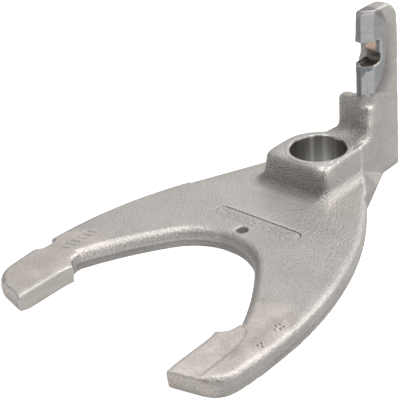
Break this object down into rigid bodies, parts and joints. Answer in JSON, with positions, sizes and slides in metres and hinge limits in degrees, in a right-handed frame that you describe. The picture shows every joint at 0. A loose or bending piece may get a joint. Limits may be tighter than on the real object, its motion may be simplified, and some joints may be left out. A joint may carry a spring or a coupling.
{
  "type": "shift fork",
  "caption": "Steel gearbox shift fork: flat curved arms with sleeve pads, a bored boss for the rail and a tall slotted selector finger.",
  "frame": {"origin": "on the axis of the rail bore, in the flat underside of the fork", "axes": "+Z along the rail bore, up through the boss; +X from the bore towards the open end of the arms; +Y towards the side that the selector finger stands on"},
  "size_m": [0.1634, 0.1092, 0.0716],
  "materials": {
    "forged_steel": "shot-blasted forged steel, with the pads, the bore and the selector slot machined bright"
  },
  "bodies": {
    "root": {"shift_fork": "forged_steel"}
  },
  "joints": []
}
